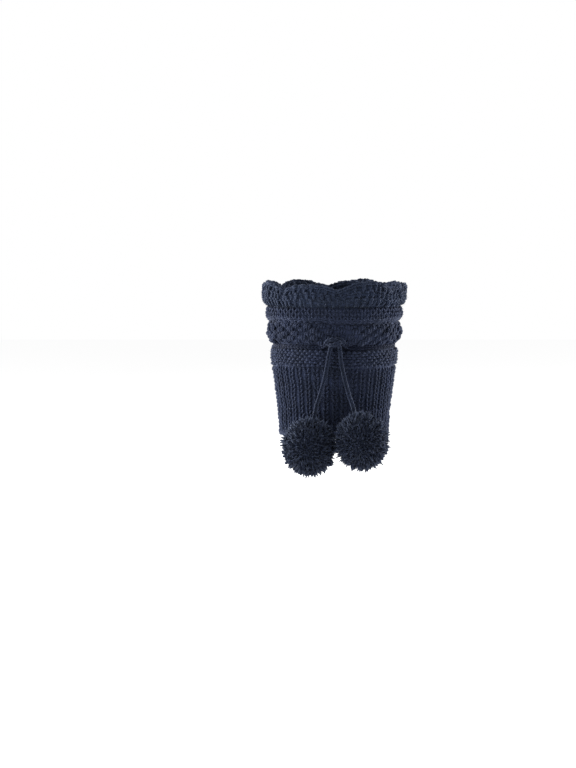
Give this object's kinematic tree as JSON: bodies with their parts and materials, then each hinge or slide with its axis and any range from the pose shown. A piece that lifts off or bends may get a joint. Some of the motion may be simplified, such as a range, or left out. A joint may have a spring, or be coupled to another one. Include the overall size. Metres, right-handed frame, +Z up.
{
  "type": "pair of knitted boot cuffs",
  "caption": "Pair of open knitted boot cuffs in banded rib with a scalloped crochet edge, a drawcord tied outside and hanging pompoms, as worn on the lower legs.",
  "frame": {"origin": "on the left cuff's axis at the height of its drawcord, where it is held on the wearer's left leg", "axes": "+Z up the leg, +X towards the calf, -X towards the shin, +Y from the left leg to the right leg"},
  "size_m": [0.1231, 0.34, 0.1644],
  "materials": {
    "knit_wool": "hand-knitted dark navy wool yarn, matt and slightly fuzzy",
    "edging_wool": "crocheted dark navy wool yarn, matt, open fans",
    "cord_wool": "crocheted chain cord in dark navy wool yarn",
    "pompom_wool": "cut wool pile, very dark navy with lighter strand tips"
  },
  "bodies": {
    "root": {"left_knit_tube": "knit_wool", "left_fan_edging": "edging_wool", "left_drawcord": "cord_wool", "left_knot": "cord_wool", "left_front_cord_end": "cord_wool", "left_back_cord_end": "cord_wool", "left_front_pompom": "pompom_wool", "left_back_pompom": "pompom_wool", "right_knit_tube": "knit_wool", "right_fan_edging": "edging_wool", "right_drawcord": "cord_wool", "right_knot": "cord_wool", "right_front_cord_end": "cord_wool", "right_back_cord_end": "cord_wool", "right_front_pompom": "pompom_wool", "right_back_pompom": "pompom_wool"}
  },
  "joints": []
}
